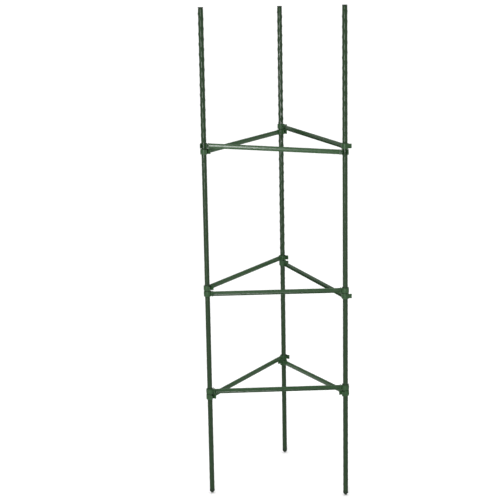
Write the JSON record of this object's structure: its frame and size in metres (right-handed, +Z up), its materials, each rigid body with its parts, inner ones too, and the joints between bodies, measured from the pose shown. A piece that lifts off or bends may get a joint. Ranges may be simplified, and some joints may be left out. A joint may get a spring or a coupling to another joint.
{
  "type": "garden obelisk",
  "caption": "Garden obelisk: coated steel stakes held upright in a triangle by rings of moulded clip-on arms that slide up and down.",
  "frame": {"origin": "on the ground, under the middle of the box around the three stakes", "axes": "+X from the left stake to the right one, +Y from those two towards the back stake, +Z up along the stakes"},
  "size_m": [0.3598, 0.3176, 1.2],
  "materials": {
    "stake_coating": "dark green extruded plastic with rows of small nubs",
    "arm_plastic": "green moulded plastic with a soft sheen",
    "end_plastic": "nearly black green moulded plastic",
    "steel": "bare drawn steel tube"
  },
  "bodies": {
    "stakes": {"left_stake_tube": "steel", "left_stake_coating": "stake_coating", "left_stake_cap": "end_plastic", "left_stake_point": "end_plastic", "right_stake_tube": "steel", "right_stake_coating": "stake_coating", "right_stake_cap": "end_plastic", "right_stake_point": "end_plastic", "back_stake_tube": "steel", "back_stake_coating": "stake_coating", "back_stake_cap": "end_plastic", "back_stake_point": "end_plastic"},
    "upper_front_arm": {"upper_front_arm": "arm_plastic"},
    "upper_left_arm": {"upper_left_arm": "arm_plastic"},
    "upper_right_arm": {"upper_right_arm": "arm_plastic"},
    "middle_front_arm": {"middle_front_arm": "arm_plastic"},
    "middle_left_arm": {"middle_left_arm": "arm_plastic"},
    "middle_right_arm": {"middle_right_arm": "arm_plastic"},
    "lower_front_arm": {"lower_front_arm": "arm_plastic"},
    "lower_left_arm": {"lower_left_arm": "arm_plastic"},
    "lower_right_arm": {"lower_right_arm": "arm_plastic"}
  },
  "joints": [
    {"name": "upper_ring_slide", "type": "slide", "parent": "stakes", "child": "upper_front_arm", "axis": [0, 0, 1], "range_m": [-0.13, 0.27]},
    {"name": "upper_left_arm_slide", "type": "slide", "parent": "stakes", "child": "upper_left_arm", "axis": [0, 0, 1], "range_m": [-0.13, 0.27]},
    {"name": "upper_right_arm_slide", "type": "slide", "parent": "stakes", "child": "upper_right_arm", "axis": [0, 0, 1], "range_m": [-0.13, 0.27]},
    {"name": "middle_ring_slide", "type": "slide", "parent": "stakes", "child": "middle_front_arm", "axis": [0, 0, 1], "range_m": [-0.09, 0.13]},
    {"name": "middle_left_arm_slide", "type": "slide", "parent": "stakes", "child": "middle_left_arm", "axis": [0, 0, 1], "range_m": [-0.09, 0.13]},
    {"name": "middle_right_arm_slide", "type": "slide", "parent": "stakes", "child": "middle_right_arm", "axis": [0, 0, 1], "range_m": [-0.09, 0.13]},
    {"name": "lower_ring_slide", "type": "slide", "parent": "stakes", "child": "lower_front_arm", "axis": [0, 0, 1], "range_m": [-0.18, 0.09]},
    {"name": "lower_left_arm_slide", "type": "slide", "parent": "stakes", "child": "lower_left_arm", "axis": [0, 0, 1], "range_m": [-0.18, 0.09]},
    {"name": "lower_right_arm_slide", "type": "slide", "parent": "stakes", "child": "lower_right_arm", "axis": [0, 0, 1], "range_m": [-0.18, 0.09]}
  ],
  "couplings": [
    {"joint": "upper_left_arm_slide", "follows": "upper_ring_slide", "ratio": 1},
    {"joint": "upper_right_arm_slide", "follows": "upper_ring_slide", "ratio": 1},
    {"joint": "middle_left_arm_slide", "follows": "middle_ring_slide", "ratio": 1},
    {"joint": "middle_right_arm_slide", "follows": "middle_ring_slide", "ratio": 1},
    {"joint": "lower_left_arm_slide", "follows": "lower_ring_slide", "ratio": 1},
    {"joint": "lower_right_arm_slide", "follows": "lower_ring_slide", "ratio": 1}
  ]
}
